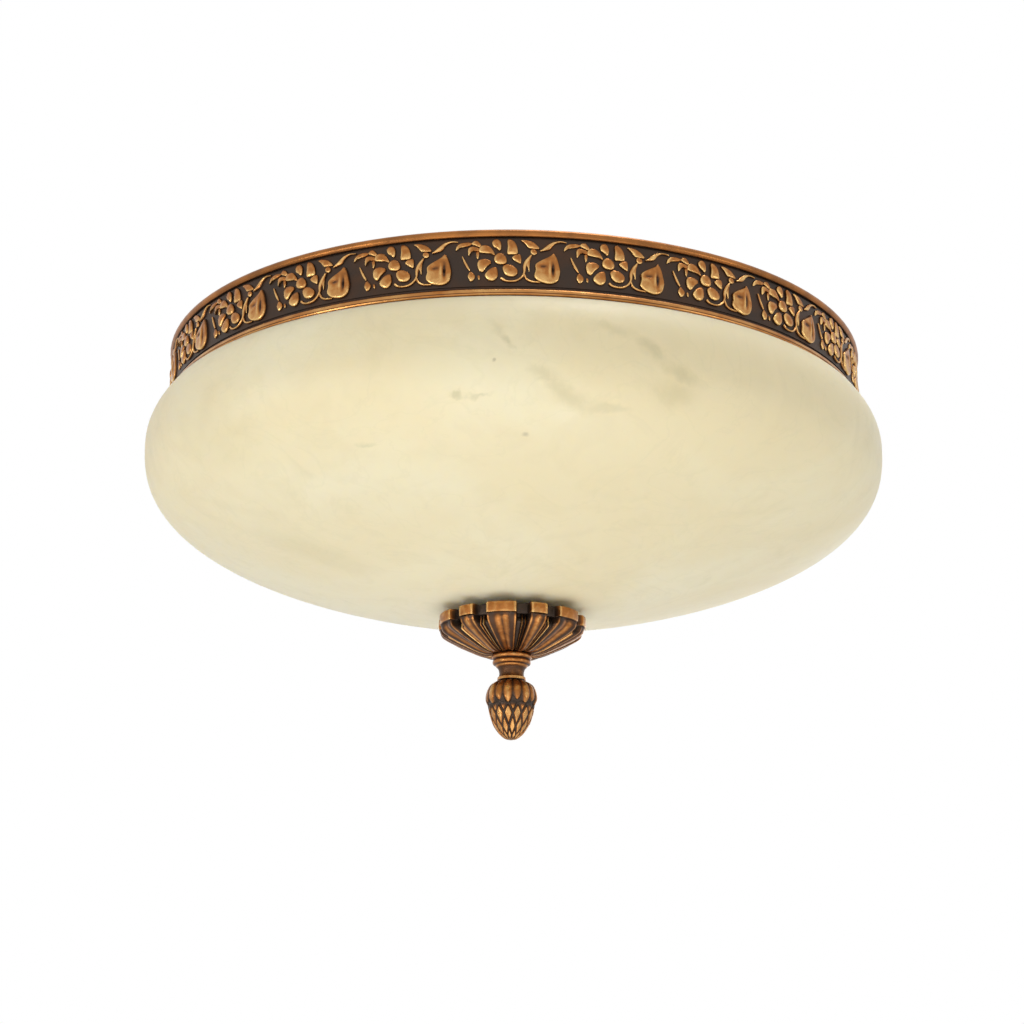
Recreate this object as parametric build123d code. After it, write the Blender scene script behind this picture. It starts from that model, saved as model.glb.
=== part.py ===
"""Flush ceiling light: an alabaster bowl under a cast brass band, held up by a rod and a finial.

Millimetres. The ceiling is the plane Z = 0 and the light hangs below it, so levels are negative.
The front of the light faces -Y. Angles run counter-clockwise from +X, seen from above.
"""

from build123d import *
import math
import os

# ---------------------------------------------------------------- fits
RUN_GAP = 0.3  # round faces of pieces that move against each other
SEAT_GAP = 0.1  # round faces of pieces that are screwed or pushed together

# ---------------------------------------------------------------- band
BAND_HEIGHT = 38.0
BAND_WALL = 3.5  # casting behind the ground of the frieze
BAND_SETBACK = 3.7  # the ground stands this far inside the bowl's rim
TOP_BEAD_HEIGHT = 4.4
LOW_BEAD_HEIGHT = 4.5
LOW_BEAD_PROUD = 1.5
QUIRK_WIDTH = 1.1  # sunk line between a bead and the frieze
QUIRK_DEPTH = 0.6
FLANGE_THICKNESS = 2.5
FLANGE_REACH = 7.0  # the seat flange runs this far inside the bowl's rim
LUG_COUNT = 6
LUG_THICKNESS = 4.0
LUG_RADIUS = 6.0
LUG_INSET = 5.0  # screw circle inside the band's inner wall
LUG_DROP = 4.0  # top of the lugs under the ceiling

# ---------------------------------------------------------------- bowl
GASKET_THICKNESS = 1.0
GASKET_WIDTH = 5.5
GASKET_INSET = 0.5  # from the inner edge of the bowl's rim
BOWL_RADIUS = 225.0
BOWL_WALL = 9.0
BOWL_DEPTH = 97.0  # pointed pole of the lower curve under the widest ring
LOWER_FULLNESS = 2.66
LOWER_SLOPE = 1.2
SHOULDER_DROP = 24.1  # widest ring under the rim
SHOULDER_HEIGHT = 75.5  # height at which the upper curve would close
SHOULDER_FULLNESS = 2.08
RIM_ROUND = 1.2
FOOT_RADIUS = 20.0  # ground flat at the bottom
BOWL_HOLE_GAP = 1.0
SHOULDER_STEPS = 3  # points on the profile's upper curve
BELLY_STEPS = 8

# ---------------------------------------------------------------- rod, nuts and washers
ROD_RADIUS = 5.0
ROD_TOP_DROP = 1.0
ROD_GRIP = 15.3  # rod inside the acorn
ROD_END_GAP = 1.0
ROD_CHAMFER = 0.8
NUT_ACROSS_FLATS = 17.0
NUT_HEIGHT = 5.0
PAN_WASHER_RADIUS = 15.0
BRACKET_WASHER_RADIUS = 11.0
WASHER_THICKNESS = 1.6
SEAT_WASHER_RADIUS = 19.0
SEAT_WASHER_THICKNESS = 3.0

# ---------------------------------------------------------------- crossbar
BAR_LENGTH = 108.0
BAR_WIDTH = 20.0
BAR_THICKNESS = 2.0
SLOT_SPACING = 79.4
SLOT_LENGTH = 14.0
SLOT_WIDTH = 4.4
BOSS_RADIUS = 9.0
BOSS_HEIGHT = 6.0
GROUND_SCREW_X = -22.0

# ---------------------------------------------------------------- screws
# Each is head radius, head height, shank radius.
PAN_SCREW = (3.0, 1.9, 1.5)
GROUND_SCREW = (3.6, 2.4, 1.7)
TERMINAL_SCREW = (2.2, 1.2, 1.3)
HOLDER_SCREW = (3.8, 2.4, 2.0)
SLOT_SHARE = 0.28  # width of a screw's slot in head radii
PAN_SCREW_LENGTH = 7.0
HOLDER_SCREW_LENGTH = 9.0

# ---------------------------------------------------------------- back pan
PAN_SHEET = 1.2
PAN_FLANGE_WIDTH = 20.5
PAN_EDGE_GAP = 1.0
PAN_DEPTH = 15.2
PAN_CONE_WIDTH = 10.0
LEAD_HOLE_X = -64.0  # beside the terminal block, clear of the crossbar
LEAD_HOLE_RADIUS = 7.0
GROMMET_BORE = 4.0
GROMMET_LIP = 1.6

# ---------------------------------------------------------------- terminal block
BLOCK_X = -92.0
BLOCK_SIZE = (17.0, 38.0, 10.5)
BLOCK_WAYS = 3
BLOCK_PITCH = 12.0
BLOCK_ROW = 5.7  # terminal screws either side of the block's middle line
BLOCK_ROUND = 1.5

# ---------------------------------------------------------------- lamp bracket and lampholders
BRACKET_DROP = 40.0
BRACKET_SHEET = 2.0
TAB_WIDTH = 32.0
TAB_LENGTH = 44.0
TAB_RADIUS = 24.0  # outer face of the tabs from the rod's axis
LAMP_DROP = 22.0  # lamp axis under the bracket's top
LAMP_COUNT = 3
FIRST_LAMP = 30.0  # angle of the first lamp
HOLDER_LENGTH = 48.0
HOLDER_RADIUS = 21.0
HOLDER_BASE_RADIUS = 16.5
HOLDER_BASE_LENGTH = 9.0
HOLDER_CAVITY_RADIUS = 14.9
HOLDER_FLOOR = 20.0
SHELL_LENGTH = 23.0
SHELL_SHEET = 0.6
CONTACT_RADIUS = 3.2
CONTACT_HEIGHT = 2.0

# ---------------------------------------------------------------- bulbs
BULB_LENGTH = 105.0
BULB_RADIUS = 30.0
BULB_NECK_RADIUS = 12.2
GLASS_WALL = 1.0
CAP_RADIUS = 13.1
CAP_LENGTH = 25.0
CAP_WALL = 0.7
CAP_CONE = 5.5
TIP_HEIGHT = 1.5

# ---------------------------------------------------------------- finial
CUP_RADIUS = 44.8
CUP_RIM_HEIGHT = 6.5
CUP_HEIGHT = 23.5
CUP_RIM_RISE = 1.1  # rim above the hub's top face
CUP_HUB_RADIUS = 14.0
CUP_FOOT_RADIUS = 12.0
CUP_LIP = (0.85, 0.88)  # turn under the rim, in cup radii and in heights of the wall under it
CUP_BELLY = (0.57, 0.27)  # bend over the foot, in cup radii and in cup heights
CUP_HOLLOW = (0.66, 0.62)  # bend of the hollow, in cup radii and in cup heights
CUP_HUB_ROOT = 0.4  # hollow's floor at the hub, in cup heights
LOBE_COUNT = 12
FIRST_LOBE = -98.5  # angle of the lobe nearest the front, one of the wide ones
LOBE_SPREAD = 2.2  # degrees that a wide lobe has over an even one at each side
NOTCH_RADIUS = 4.2
NOTCH_INSET = 1.3  # middle of a notch inside the rim
NOTCH_TAIL = (3.4, 1.0)  # radii of the groove that runs from a notch to the foot
FLUTE_TAIL = (4.2, 1.2)  # radii of the flute on a lobe, at its top and at the foot
FLUTE_INSET = 1.5  # flute's top inside the circle of the notches
FLUTE_DROP = 3.0  # and under the rim's lower edge
NECK_LENGTH = 14.5
NECK_BEAD_RADIUS = 12.0
NECK_RING_RADIUS = 11.5
NECK_WAIST_RADIUS = 8.0
NECK_BEAD = 0.2  # heights down the neck, in neck lengths
NECK_RING = 0.34
NECK_COVE = 0.67
NECK_COLLAR = 0.9
COLLAR_STEP = 0.4
ACORN_RADIUS = 15.2
ACORN_LENGTH = 36.1
ACORN_NECK_RADIUS = 7.8
CUPULE_LENGTH = 15.5
CUPULE_SHOULDER = (0.85, 0.23)  # in acorn radii and, down from the top, in cupule lengths
CUPULE_BELLY = 0.6  # widest ring, in cupule lengths
CUPULE_EDGE = 0.97  # radius at the edge, in acorn radii
CUPULE_STEP = 1.3
NUT_BENDS = ((0.925, 0.25), (0.75, 0.57), (0.49, 0.81))  # in radii and lengths of the bare nut
LEAF_COUNT = 8
LEAF_PROUD = 0.6
LEAF_WIDTH = 9.6
LEAF_SHOULDER = 0.55  # widest place of a leaf, in cupule lengths
LEAF_POINT_RISE = 0.2  # leaf's point above the cupule's edge

# ---------------------------------------------------------------- levels and radii that follow
RIM_Z = -(BAND_HEIGHT + GASKET_THICKNESS)
WAIST_Z = RIM_Z - SHOULDER_DROP


def bowl_shoulder(angle, wall):
    """Point of the upper curve: 0 degrees at the widest ring, 90 where the curve would close."""
    power = 2 / SHOULDER_FULLNESS
    radius = (BOWL_RADIUS - wall) * math.cos(math.radians(angle)) ** power
    rise = (SHOULDER_HEIGHT - wall) * math.sin(math.radians(angle)) ** power
    return radius, WAIST_Z + rise


def bowl_belly(angle, wall):
    """Point of the lower curve: 0 degrees at the widest ring, 90 at the pole."""
    radius = (BOWL_RADIUS - wall) * math.cos(math.radians(angle)) ** (2 / LOWER_SLOPE)
    fall = (BOWL_DEPTH - wall) * math.sin(math.radians(angle)) ** (2 / LOWER_FULLNESS)
    return radius, WAIST_Z - fall


def shoulder_end(wall):
    """Angle at which the upper curve meets the rim."""
    share = SHOULDER_DROP / (SHOULDER_HEIGHT - wall)
    return math.degrees(math.asin(share ** (SHOULDER_FULLNESS / 2)))


def belly_end(radius, wall):
    """Angle at which the lower curve meets a radius."""
    share = radius / (BOWL_RADIUS - wall)
    return math.degrees(math.acos(share ** (LOWER_SLOPE / 2)))


RIM_OUTER = bowl_shoulder(shoulder_end(0), 0)[0]
RIM_INNER = bowl_shoulder(shoulder_end(BOWL_WALL), BOWL_WALL)[0]
BOWL_HOLE_RADIUS = ROD_RADIUS + BOWL_HOLE_GAP
FOOT_Z = bowl_belly(belly_end(FOOT_RADIUS, 0), 0)[1]

GROUND_RADIUS = RIM_OUTER - BAND_SETBACK
BAND_INNER = GROUND_RADIUS - BAND_WALL
LUG_CIRCLE = BAND_INNER - LUG_INSET
SCREW_HOLE = PAN_SCREW[2] + SEAT_GAP

PAN_TOP = -LUG_DROP + PAN_SHEET
PAN_FLOOR_TOP = PAN_TOP - PAN_DEPTH
PAN_FLOOR = PAN_FLOOR_TOP - PAN_SHEET
PAN_OUTER = BAND_INNER - PAN_EDGE_GAP
BAR_Z = -BAR_THICKNESS
BOSS_Z = BAR_Z - BOSS_HEIGHT
BRACKET_Z = -BRACKET_DROP
BRACKET_UNDER = BRACKET_Z - BRACKET_SHEET
LAMP_Z = BRACKET_Z - LAMP_DROP
LAMP_ANGLES = [FIRST_LAMP + 360 * i / LAMP_COUNT for i in range(LAMP_COUNT)]

HUB_TOP = FOOT_Z - SEAT_WASHER_THICKNESS
CUP_TOP = HUB_TOP + CUP_RIM_RISE
CUP_BOTTOM = CUP_TOP - CUP_HEIGHT
NECK_BOTTOM = CUP_BOTTOM - NECK_LENGTH
ACORN_TOP = NECK_BOTTOM - RUN_GAP
ROD_TOP = -ROD_TOP_DROP
ROD_BOTTOM = ACORN_TOP - ROD_GRIP
FINIAL_BORE = ROD_RADIUS + RUN_GAP


# ---------------------------------------------------------------- shared shapes
def at(radius, level):
    """Point of an outline, from the axis and the ceiling plane."""
    return (radius, 0, level)


def corners(*points):
    """Straight run through outline points."""
    return Polyline(*[at(*point) for point in points])


def curve(*points):
    """Smooth run through outline points."""
    return Spline(*[at(*point) for point in points])


def arcs(*points):
    """Run of arcs through outline points: end, middle, end, middle, end."""
    places = [at(*point) for point in points]
    return Wire([ThreePointArc(*places[i : i + 3]) for i in range(0, len(places) - 2, 2)])


def turned(*runs):
    """Solid turned about Z from the runs of a closed outline."""
    return revolve(make_face([edge for run in runs for edge in run.edges()]), Axis.Z)


def ring(outer, inner, top, thickness):
    """Flat ring under a level."""
    solid = Cylinder(outer, thickness) - Cylinder(inner, thickness)
    return Pos(0, 0, top - thickness / 2) * solid


def around(count, first, shape):
    """Copies of a shape round Z."""
    return [Rot(0, 0, first + 360 * i / count) * shape for i in range(count)]


def screw(size, length):
    """Slotted screw: the underside of its head is at Z = 0 and its shank points down."""
    head_radius, head_height, shank_radius = size
    head = Pos(0, 0, head_height / 2) * Cylinder(head_radius, head_height)
    head = chamfer(head.edges().group_by(Axis.Z)[-1], head_height / 4)
    slot = Box(3 * head_radius, SLOT_SHARE * head_radius, head_height)
    shank = Pos(0, 0, -length / 2) * Cylinder(shank_radius, length)
    return head - Pos(0, 0, head_height) * slot + shank


def nut(top):
    """Hexagon nut on the rod, with its corners turned off."""
    radius = NUT_ACROSS_FLATS / math.sqrt(3)
    prism = extrude(RegularPolygon(radius, 6), NUT_HEIGHT)
    limit = Pos(0, 0, NUT_HEIGHT / 2) * Cylinder(radius, NUT_HEIGHT)
    limit = chamfer(limit.edges().filter_by(GeomType.CIRCLE), NUT_HEIGHT / 8)
    bore = Pos(0, 0, NUT_HEIGHT / 2) * Cylinder(ROD_RADIUS + SEAT_GAP, NUT_HEIGHT)
    return Pos(0, 0, top - NUT_HEIGHT) * ((prism & limit) - bore)


# ---------------------------------------------------------------- ceiling side
def crossbar():
    """Steel strap that screws to the ceiling box, with a boss that takes the rod."""
    strap = extrude(SlotOverall(BAR_LENGTH, BAR_WIDTH), BAR_THICKNESS)
    slot = extrude(SlotOverall(SLOT_LENGTH, SLOT_WIDTH), BAR_THICKNESS)
    strap -= [Pos(side * SLOT_SPACING / 2, 0, 0) * slot for side in (-1, 1)]
    strap -= Pos(GROUND_SCREW_X, 0, 0) * Cylinder(GROUND_SCREW[2] + SEAT_GAP, 3 * BAR_THICKNESS)
    boss = Pos(0, 0, -BOSS_HEIGHT / 2) * Cylinder(BOSS_RADIUS, BOSS_HEIGHT)
    bore = Cylinder(ROD_RADIUS + SEAT_GAP, 3 * BOSS_HEIGHT)
    return Pos(0, 0, BAR_Z) * (strap + boss - bore)


def ground_screw():
    """Screw under the crossbar for the earth lead."""
    turned_over = Rot(180, 0, 0) * screw(GROUND_SCREW, BAR_THICKNESS - SEAT_GAP)
    return Pos(GROUND_SCREW_X, 0, BAR_Z) * turned_over


def centre_rod():
    """Threaded rod, drawn plain, from the crossbar down into the acorn."""
    length = ROD_TOP - ROD_BOTTOM
    rod = Pos(0, 0, ROD_TOP - length / 2) * Cylinder(ROD_RADIUS, length)
    return chamfer(rod.edges().filter_by(GeomType.CIRCLE), ROD_CHAMFER)


def rod_nuts():
    """Four like nuts: under the boss, under the pan, and over and under the lamp bracket."""
    tops = [
        BOSS_Z,
        PAN_FLOOR - WASHER_THICKNESS,
        BRACKET_Z + NUT_HEIGHT,
        BRACKET_UNDER - WASHER_THICKNESS,
    ]
    return [nut(top) for top in tops]


def back_pan():
    """Pressed steel pan that closes the wiring space and carries the band."""
    slope = math.atan2(PAN_DEPTH, PAN_CONE_WIDTH)
    mitre = PAN_SHEET * math.tan(slope / 2)
    shoulder = PAN_OUTER - PAN_FLANGE_WIDTH
    floor = shoulder - PAN_CONE_WIDTH
    hole = ROD_RADIUS + RUN_GAP
    pan = turned(
        corners(
            (hole, PAN_FLOOR_TOP),
            (floor, PAN_FLOOR_TOP),
            (shoulder, PAN_TOP),
            (PAN_OUTER, PAN_TOP),
            (PAN_OUTER, PAN_TOP - PAN_SHEET),
            (shoulder + mitre, PAN_TOP - PAN_SHEET),
            (floor + mitre, PAN_FLOOR),
            (hole, PAN_FLOOR),
            (hole, PAN_FLOOR_TOP),
        )
    )
    drill = Pos(LUG_CIRCLE, 0, PAN_TOP) * Cylinder(SCREW_HOLE, 3 * PAN_SHEET)
    pan -= around(LUG_COUNT, 0, drill)
    pan -= Pos(LEAD_HOLE_X, 0, PAN_FLOOR) * Cylinder(LEAD_HOLE_RADIUS, 3 * PAN_SHEET)
    return pan - Pos(BLOCK_X, 0, PAN_FLOOR) * Cylinder(SCREW_HOLE, 3 * PAN_SHEET)


def pan_screws():
    """Screws that hold the pan down on the band's lugs."""
    one = Pos(LUG_CIRCLE, 0, PAN_TOP) * screw(PAN_SCREW, PAN_SCREW_LENGTH)
    return around(LUG_COUNT, 0, one)


def lead_grommet():
    """Rubber grommet in the pan's lead hole."""
    waist = LEAD_HOLE_RADIUS - SEAT_GAP
    lip = LEAD_HOLE_RADIUS + GROMMET_LIP
    ring_shape = turned(
        corners(
            (GROMMET_BORE, GROMMET_LIP),
            (lip, GROMMET_LIP / 2),
            (lip, 0),
            (waist, 0),
            (waist, -PAN_SHEET),
            (lip, -PAN_SHEET),
            (lip, -PAN_SHEET - GROMMET_LIP / 2),
            (GROMMET_BORE, -PAN_SHEET - GROMMET_LIP),
            (GROMMET_BORE, GROMMET_LIP),
        )
    )
    return Pos(LEAD_HOLE_X, 0, PAN_FLOOR_TOP) * ring_shape


def block_screw_places():
    """Places of the terminal screws on the block, from its middle."""
    first = -BLOCK_PITCH * (BLOCK_WAYS - 1) / 2
    rows = (-BLOCK_ROW, BLOCK_ROW)
    return [(x, first + BLOCK_PITCH * i) for x in rows for i in range(BLOCK_WAYS)]


def terminal_block():
    """Porcelain connector block on the pan's floor, in the wiring space."""
    width, length, height = BLOCK_SIZE
    block = Pos(0, 0, height / 2) * Box(width, length, height)
    block = fillet(block.edges().filter_by(Axis.Z), BLOCK_ROUND)
    well = Cylinder(TERMINAL_SCREW[2] + SEAT_GAP, height)
    block -= [Pos(x, y, height) * well for x, y in block_screw_places()]
    block -= Cylinder(SCREW_HOLE, 3 * height)
    return Pos(BLOCK_X, 0, PAN_FLOOR_TOP) * block


def terminal_screws():
    """Brass screws of the connector block."""
    height = BLOCK_SIZE[2]
    one = screw(TERMINAL_SCREW, height / 2 - SEAT_GAP)
    top = PAN_FLOOR_TOP + height
    return [Pos(BLOCK_X + x, y, top) * one for x, y in block_screw_places()]


def block_screw():
    """Screw that holds the connector block to the pan."""
    length = BLOCK_SIZE[2] + 2 * PAN_SHEET
    return Pos(BLOCK_X, 0, PAN_FLOOR_TOP + BLOCK_SIZE[2]) * screw(PAN_SCREW, length)


# ---------------------------------------------------------------- band
def band():
    """Cast brass band with a half-round bead over and a flatter one under the frieze."""
    top_bead = TOP_BEAD_HEIGHT / 2
    quirk = GROUND_RADIUS - QUIRK_DEPTH
    frieze_low = -BAND_HEIGHT + LOW_BEAD_HEIGHT
    low_proud = GROUND_RADIUS + LOW_BEAD_PROUD
    casting = turned(
        corners((BAND_INNER, 0), (GROUND_RADIUS, 0)),
        ThreePointArc(
            at(GROUND_RADIUS, 0),
            at(GROUND_RADIUS + top_bead, -top_bead),
            at(GROUND_RADIUS, -TOP_BEAD_HEIGHT),
        ),
        corners(
            (GROUND_RADIUS, -TOP_BEAD_HEIGHT),
            (quirk, -TOP_BEAD_HEIGHT),
            (quirk, -TOP_BEAD_HEIGHT - QUIRK_WIDTH),
            (GROUND_RADIUS, -TOP_BEAD_HEIGHT - QUIRK_WIDTH),
            (GROUND_RADIUS, frieze_low + QUIRK_WIDTH),
            (quirk, frieze_low + QUIRK_WIDTH),
            (quirk, frieze_low),
        ),
        ThreePointArc(
            at(quirk, frieze_low),
            at(low_proud, frieze_low - LOW_BEAD_HEIGHT / 2),
            at(GROUND_RADIUS + LOW_BEAD_PROUD / 2, -BAND_HEIGHT),
        ),
        corners(
            (GROUND_RADIUS + LOW_BEAD_PROUD / 2, -BAND_HEIGHT),
            (RIM_INNER - FLANGE_REACH, -BAND_HEIGHT),
            (RIM_INNER - FLANGE_REACH, -BAND_HEIGHT + FLANGE_THICKNESS),
            (BAND_INNER, -BAND_HEIGHT + FLANGE_THICKNESS),
            (BAND_INNER, 0),
        ),
    )
    foot = LUG_INSET + BAND_WALL / 2
    lug = Cylinder(LUG_RADIUS, LUG_THICKNESS)
    lug += Pos(foot / 2, 0, 0) * Box(foot, 2 * LUG_RADIUS, LUG_THICKNESS)
    lug -= Cylinder(SCREW_HOLE, 3 * LUG_THICKNESS)
    lug = Pos(LUG_CIRCLE, 0, -LUG_DROP - LUG_THICKNESS / 2) * lug
    return casting + around(LUG_COUNT, 0, lug)


# ---------------------------------------------------------------- lamps
def on_lamp(angle, shape):
    """Sets a shape made along +Z from a tab's outer face out along one lamp's axis."""
    return Rot(0, 0, angle) * Pos(TAB_RADIUS, 0, LAMP_Z) * Rot(0, 90, 0) * shape


def lamp_bracket():
    """Steel bracket clamped on the rod, with one tab bent down for each lampholder."""
    arm = Pos(TAB_RADIUS / 2, 0, -BRACKET_SHEET / 2) * Box(TAB_RADIUS, TAB_WIDTH, BRACKET_SHEET)
    tab = Box(BRACKET_SHEET, TAB_WIDTH, TAB_LENGTH)
    tab = fillet(tab.edges().filter_by(Axis.X).group_by(Axis.Z)[0], TAB_WIDTH / 4)
    leg = arm + Pos(TAB_RADIUS - BRACKET_SHEET / 2, 0, -TAB_LENGTH / 2) * tab
    hole = Cylinder(HOLDER_SCREW[2] + SEAT_GAP, 3 * BRACKET_SHEET)
    leg -= Pos(TAB_RADIUS, 0, -LAMP_DROP) * Rot(0, 90, 0) * hole
    first, *others = around(LAMP_COUNT, FIRST_LAMP, leg)
    plate = first + others
    plate -= Cylinder(ROD_RADIUS + SEAT_GAP, 3 * BRACKET_SHEET)
    return Pos(0, 0, BRACKET_Z) * plate


def holder_screws():
    """One screw for each lampholder, from the rod's side of its tab."""
    one = Pos(0, 0, -BRACKET_SHEET) * Rot(180, 0, 0) * screw(HOLDER_SCREW, HOLDER_SCREW_LENGTH)
    return [on_lamp(angle, one) for angle in LAMP_ANGLES]


def lampholder():
    """Porcelain lampholder: a base, a step and a skirt round the socket."""
    step = HOLDER_BASE_LENGTH + (HOLDER_RADIUS - HOLDER_BASE_RADIUS)
    body = turned(
        corners(
            (0, 0),
            (HOLDER_BASE_RADIUS, 0),
            (HOLDER_BASE_RADIUS, HOLDER_BASE_LENGTH),
            (HOLDER_RADIUS, step),
            (HOLDER_RADIUS, HOLDER_LENGTH),
            (HOLDER_CAVITY_RADIUS, HOLDER_LENGTH),
            (HOLDER_CAVITY_RADIUS, HOLDER_FLOOR),
            (0, HOLDER_FLOOR),
            (0, 0),
        )
    )
    tapped = HOLDER_SCREW_LENGTH - BRACKET_SHEET + SEAT_GAP
    hole = Pos(0, 0, tapped / 2) * Cylinder(HOLDER_SCREW[2] + SEAT_GAP, tapped)
    return body - hole


def socket_shell():
    """Screw shell in the lampholder's socket, drawn plain."""
    outer = HOLDER_CAVITY_RADIUS - SEAT_GAP
    return ring(outer, outer - SHELL_SHEET, HOLDER_FLOOR + SHELL_LENGTH, SHELL_LENGTH)


def contact():
    """Sprung contact at the socket's floor."""
    button = Pos(0, 0, HOLDER_FLOOR + CONTACT_HEIGHT / 2)
    return button * Cylinder(CONTACT_RADIUS, CONTACT_HEIGHT)


def bulb_tip():
    """Centre contact on the end of a bulb's cap, which presses on the lampholder's contact."""
    button = Pos(0, 0, HOLDER_FLOOR + CONTACT_HEIGHT + TIP_HEIGHT / 2)
    return button * Cylinder(CONTACT_RADIUS, TIP_HEIGHT)


def bulb_cap():
    """Screw cap of a bulb, drawn plain, with the insulator cone at its end."""
    tip = HOLDER_FLOOR + CONTACT_HEIGHT
    shoulder = tip + CAP_CONE
    mouth = tip + CAP_LENGTH
    bore = CAP_RADIUS - CAP_WALL
    return turned(
        corners(
            (0, tip + TIP_HEIGHT),
            (CONTACT_RADIUS + CAP_WALL, tip + TIP_HEIGHT),
            (CAP_RADIUS, shoulder),
            (CAP_RADIUS, mouth),
            (bore, mouth),
            (bore, shoulder + CAP_WALL),
            (0, shoulder + CAP_WALL),
            (0, tip + TIP_HEIGHT),
        )
    )


def bulb_glass():
    """Glass envelope of a bulb: neck, flare and globe, a shell that is open inside its cap."""
    end = HOLDER_FLOOR + CONTACT_HEIGHT + BULB_LENGTH
    globe = end - BULB_RADIUS
    mouth = HOLDER_FLOOR + CONTACT_HEIGHT + CAP_LENGTH
    root = mouth - CAP_LENGTH / 3

    def envelope(wall):
        """Outside of the envelope, or its inside with a wall."""
        neck = BULB_NECK_RADIUS - wall
        radius = BULB_RADIUS - wall
        rise = globe - mouth
        flare = (neck**2 + rise**2 - radius**2) / (2 * (radius - neck))
        lean = math.atan2(rise, neck + flare)
        up = (math.pi / 2 - lean) / 2
        return [
            corners((neck, root), (neck, mouth)),
            arcs(
                (neck, mouth),
                (neck + flare - flare * math.cos(lean / 2), mouth + flare * math.sin(lean / 2)),
                (radius * math.cos(lean), globe - radius * math.sin(lean)),
                (radius * math.cos(up), globe + radius * math.sin(up)),
                (0, globe + radius),
            ),
        ]

    close = corners((0, end), (0, end - GLASS_WALL))
    foot = corners((BULB_NECK_RADIUS - GLASS_WALL, root), (BULB_NECK_RADIUS, root))
    return turned(*envelope(0), close, *envelope(GLASS_WALL), foot)


# ---------------------------------------------------------------- bowl
def bowl_curve(foot_radius, wall):
    """Profile of the bowl's outside, or of its inside with a wall, from the rim down."""
    top = shoulder_end(wall)
    low = belly_end(foot_radius, wall)
    upper = [bowl_shoulder(top * (1 - i / SHOULDER_STEPS), wall) for i in range(SHOULDER_STEPS)]
    lower = [bowl_belly(low * i / BELLY_STEPS, wall) for i in range(BELLY_STEPS + 1)]
    return curve(*upper, *lower)


def bowl():
    """Turned alabaster bowl, flat on its rim and round its hole."""
    outside = bowl_curve(FOOT_RADIUS, 0)
    inside = bowl_curve(BOWL_HOLE_RADIUS, BOWL_WALL)
    inner_foot = bowl_belly(belly_end(BOWL_HOLE_RADIUS, BOWL_WALL), BOWL_WALL)
    shape = turned(
        outside,
        corners((FOOT_RADIUS, FOOT_Z), (BOWL_HOLE_RADIUS, FOOT_Z), inner_foot),
        inside,
        corners((RIM_INNER, RIM_Z), (RIM_OUTER, RIM_Z)),
    )
    rim_edges = shape.edges().filter_by(GeomType.CIRCLE).group_by(Axis.Z)[-1]
    return fillet(rim_edges, RIM_ROUND)


# ---------------------------------------------------------------- finial
def finial_cup():
    """Cast cup under the bowl: wide and narrow lobes by turns, fluted, with notches between."""
    rim_low = CUP_TOP - CUP_RIM_HEIGHT
    lip = (CUP_LIP[0] * CUP_RADIUS, CUP_BOTTOM + CUP_LIP[1] * (rim_low - CUP_BOTTOM))
    belly = (CUP_BELLY[0] * CUP_RADIUS, CUP_BOTTOM + CUP_BELLY[1] * CUP_HEIGHT)
    hollow = (CUP_HOLLOW[0] * CUP_RADIUS, CUP_BOTTOM + CUP_HOLLOW[1] * CUP_HEIGHT)
    cavity = CUP_RADIUS - 2 * NOTCH_RADIUS
    hub_foot = (CUP_HUB_RADIUS, CUP_BOTTOM + CUP_HUB_ROOT * CUP_HEIGHT)
    body = turned(
        corners(
            (FINIAL_BORE, CUP_BOTTOM),
            (FINIAL_BORE, HUB_TOP),
            (CUP_HUB_RADIUS, HUB_TOP),
            hub_foot,
        ),
        curve(hub_foot, hollow, (cavity, CUP_TOP)),
        corners((cavity, CUP_TOP), (CUP_RADIUS, CUP_TOP), (CUP_RADIUS, rim_low), lip),
        curve(lip, belly, (CUP_FOOT_RADIUS, CUP_BOTTOM)),
        corners((CUP_FOOT_RADIUS, CUP_BOTTOM), (FINIAL_BORE, CUP_BOTTOM)),
    )
    notch_x = CUP_RADIUS - NOTCH_INSET
    foot = at(CUP_FOOT_RADIUS + NOTCH_TAIL[1], CUP_BOTTOM - NOTCH_TAIL[1])
    notch = groove(at(notch_x, rim_low), foot, *NOTCH_TAIL)
    notch_wall = Cylinder(NOTCH_RADIUS, 2 * CUP_RIM_HEIGHT)
    flute = groove(at(notch_x - FLUTE_INSET, rim_low - FLUTE_DROP), foot, *FLUTE_TAIL)
    to_notch = 180 / LOBE_COUNT + LOBE_SPREAD
    for between in (FIRST_LOBE - to_notch, FIRST_LOBE + to_notch):
        body -= around(LOBE_COUNT // 2, between, Pos(notch_x, 0, CUP_TOP) * notch_wall)
        body -= around(LOBE_COUNT // 2, between, notch)
    body -= around(LOBE_COUNT, FIRST_LOBE, flute)
    return body


def groove(start, end, start_radius, end_radius):
    """Tapered round cutter between two points."""
    line = Vector(*end) - Vector(*start)
    plane = Plane(origin=start, z_dir=line)
    return Solid.make_cone(start_radius, end_radius, line.length, plane)


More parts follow.
